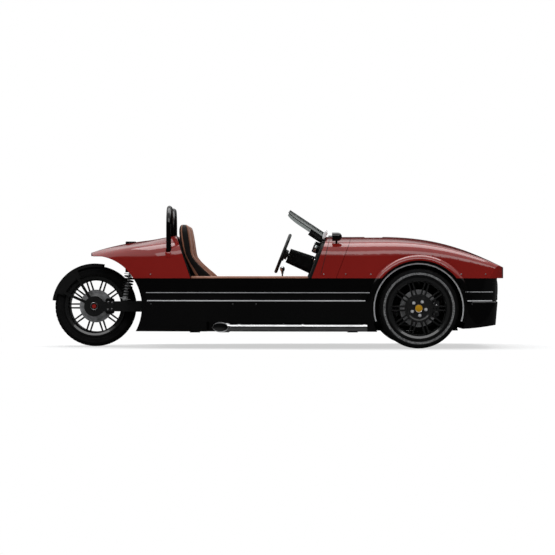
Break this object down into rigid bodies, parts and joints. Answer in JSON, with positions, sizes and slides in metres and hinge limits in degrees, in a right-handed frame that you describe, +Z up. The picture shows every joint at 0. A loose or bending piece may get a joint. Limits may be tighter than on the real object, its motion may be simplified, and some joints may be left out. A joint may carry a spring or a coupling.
{
  "type": "three-wheeled car",
  "caption": "Open two-seat roadster with paired steered front wheels, a single rear wheel on a side swing arm, low windscreen, roll hoops and side exhaust.",
  "frame": {"origin": "on the ground, below the middle of the overall box", "axes": "+X points forward, +Y to the car's left, +Z up"},
  "size_m": [3.66, 1.7425, 1.1378],
  "materials": {
    "red_paint": "gloss two-stage paint",
    "black_paint": "gloss paint",
    "frame_black": "satin powder coat",
    "black_plastic": "fine grain",
    "trim_black": "soft grain",
    "tan_leather": "stitched leather",
    "grip_leather": "smooth leather",
    "tyre_rubber": "moulded rubber",
    "rim_black": "gloss black on cast alloy",
    "disc_steel": "turned",
    "forged_iron": "cast, painted",
    "bright_chrome": "polished",
    "rail_alloy": "satin",
    "cast_alloy": "as cast",
    "shaft_steel": "ground",
    "spring_white": "gloss white coat on steel",
    "screen_glass": "clear",
    "lamp_lens": "clear lens",
    "tail_lens": "moulded lens"
  },
  "bodies": {
    "chassis": {"hood": "red_paint", "cowl": "red_paint", "rear_deck": "red_paint", "hood_vent": "black_plastic", "fuel_cap": "black_plastic", "side_panel_left": "black_paint", "side_panel_right": "black_paint", "front_bumper": "black_paint", "grille": "black_plastic", "headlamps": "lamp_lens", "tail_lamps": "tail_lens", "floor_pan": "frame_black", "firewall": "frame_black", "rear_bulkhead": "trim_black", "rear_frame": "frame_black", "rear_panels": "black_paint", "front_subframe": "frame_black", "engine": "cast_alloy", "half_shafts": "shaft_steel", "wishbones": "frame_black", "radiator": "cast_alloy", "wheel_liners": "black_plastic", "dashboard": "trim_black", "steering_column": "trim_black", "tunnel": "trim_black", "gear_lever": "trim_black", "cockpit_trims": "tan_leather", "seat_left": "tan_leather", "seat_right": "tan_leather", "windscreen": "screen_glass", "screen_rail": "rail_alloy", "mirrors": "bright_chrome", "exhaust_pipe": "bright_chrome", "swing_arm": "frame_black", "rear_fender": "black_plastic", "rear_damper": "spring_white", "rear_spring": "spring_white", "roll_hoop_left": "black_paint", "roll_hoop_right": "black_paint"},
    "knuckle_left": {"front_knuckle_left": "forged_iron"},
    "knuckle_right": {"front_knuckle_right": "forged_iron"},
    "wheel_front_left": {"front_rim_left": "rim_black", "front_tyre_left": "tyre_rubber", "front_disc_left": "disc_steel"},
    "wheel_front_right": {"front_rim_right": "rim_black", "front_tyre_right": "tyre_rubber", "front_disc_right": "disc_steel"},
    "wheel_rear": {"rear_rim": "rim_black", "rear_tyre": "tyre_rubber", "rear_disc": "disc_steel"},
    "steering": {"steering_wheel": "grip_leather"},
    "rack": {"steering_rack": "shaft_steel"}
  },
  "joints": [
    {"name": "steer_left", "type": "hinge", "parent": "chassis", "child": "knuckle_left", "pos_m": [1.11412, 0.688, 0.3185], "axis": [0, 0, 1], "range_deg": [-30, 30]},
    {"name": "spin_front_left", "type": "hinge", "parent": "knuckle_left", "child": "wheel_front_left", "pos_m": [1.11412, 0.718, 0.3185], "axis": [0, 1, 0], "continuous": true},
    {"name": "steer_right", "type": "hinge", "parent": "chassis", "child": "knuckle_right", "pos_m": [1.11412, -0.688, 0.3185], "axis": [0, 0, 1], "range_deg": [-30, 30]},
    {"name": "spin_front_right", "type": "hinge", "parent": "knuckle_right", "child": "wheel_front_right", "pos_m": [1.11412, -0.718, 0.3185], "axis": [0, 1, 0], "continuous": true},
    {"name": "spin_rear", "type": "hinge", "parent": "chassis", "child": "wheel_rear", "pos_m": [-1.48588, 0, 0.3285], "axis": [0, 1, 0], "continuous": true},
    {"name": "steering_turn", "type": "hinge", "parent": "chassis", "child": "steering", "pos_m": [0.046, 0.338, 0.762], "axis": [-0.9304, 0, 0.3665], "range_deg": [-425, 425]},
    {"name": "rack_slide", "type": "slide", "parent": "chassis", "child": "rack", "axis": [0, -1, 0], "range_m": [-0.072, 0.072]}
  ],
  "couplings": [
    {"joint": "steer_right", "follows": "steer_left", "ratio": 1},
    {"joint": "rack_slide", "follows": "steer_left", "m_per_rad": 0.135},
    {"joint": "steering_turn", "follows": "steer_left", "ratio": 14}
  ]
}
